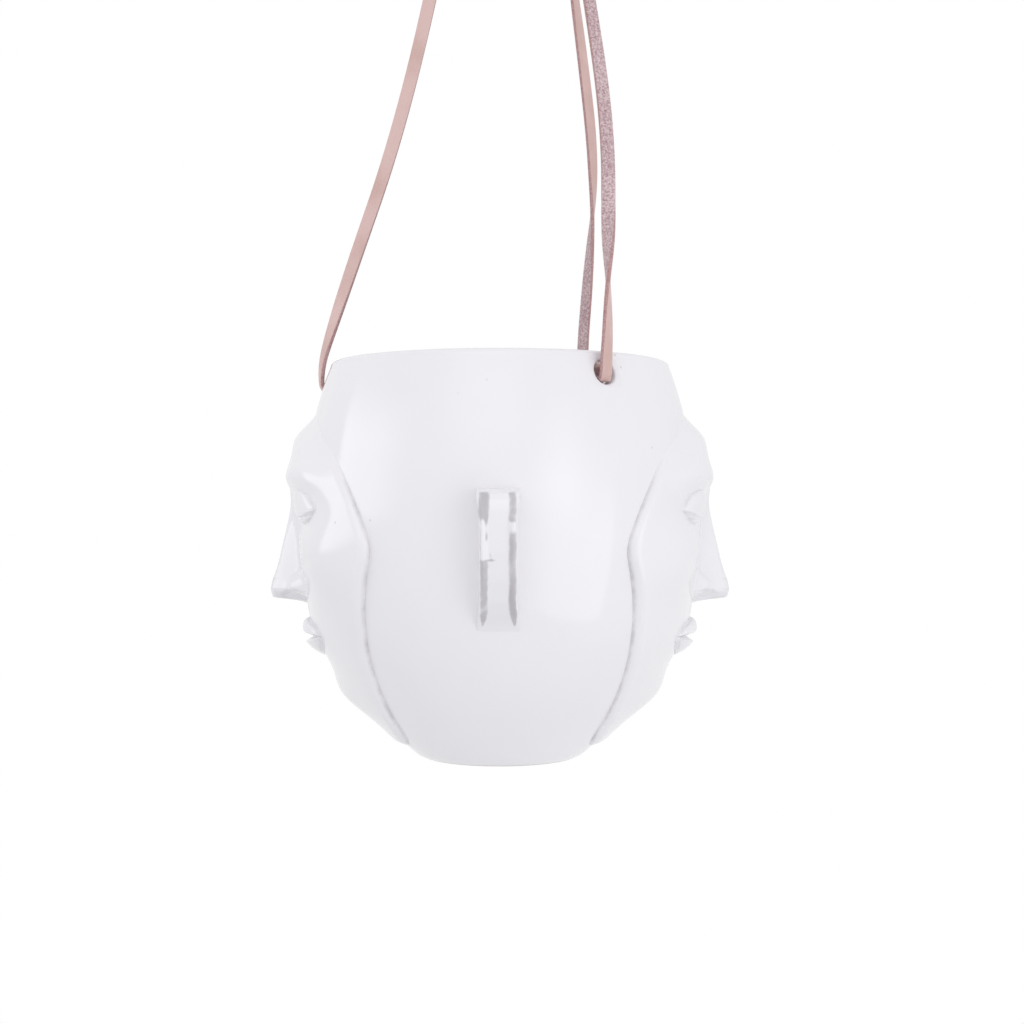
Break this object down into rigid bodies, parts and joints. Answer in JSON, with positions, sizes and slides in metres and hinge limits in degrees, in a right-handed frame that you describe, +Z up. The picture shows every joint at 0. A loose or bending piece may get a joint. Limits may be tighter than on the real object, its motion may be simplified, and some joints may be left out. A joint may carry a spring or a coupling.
{
  "type": "hanging planter",
  "caption": "Round glazed pot shaped as a head with faces back to back and ears at the sides, hung from flat leather laces knotted inside its rim and gathered under a loop.",
  "frame": {"origin": "inside the top of the hanging loop, where a hook carries the planter", "axes": "+Z up; one face looks along +X and the other along -X; the ears are at -Y and +Y"},
  "size_m": [0.1894, 0.1866, 0.54],
  "materials": {
    "glaze": "gloss white glaze",
    "lace": "flat dusty-pink lace, smooth on one side and suede on the other"
  },
  "bodies": {
    "hanger": {"hanging_loop": "lace"},
    "knot": {"top_knot": "lace"},
    "neck": {"strap_neck": "lace"},
    "planter": {"pot_shell": "glaze", "left_mask": "glaze", "right_mask": "glaze", "left_nose": "glaze", "right_nose": "glaze", "left_lips": "glaze", "right_lips": "glaze", "left_eyelids": "glaze", "right_eyelids": "glaze", "front_ear": "glaze", "rear_ear": "glaze", "left_strap": "lace", "front_strap": "lace", "rear_strap": "lace", "left_stop_knot": "lace", "front_stop_knot": "lace", "rear_stop_knot": "lace"}
  },
  "joints": [
    {"name": "turn", "type": "hinge", "parent": "hanger", "child": "knot", "pos_m": [0, 0, -0.046], "axis": [0, 0, 1], "range_deg": [-180, 180]},
    {"name": "swing_sideways", "type": "hinge", "parent": "knot", "child": "neck", "pos_m": [0, 0, -0.046], "axis": [0, 1, 0], "range_deg": [-30, 30]},
    {"name": "swing_fore_aft", "type": "hinge", "parent": "neck", "child": "planter", "pos_m": [0, 0, -0.046], "axis": [1, 0, 0], "range_deg": [-30, 30]}
  ]
}
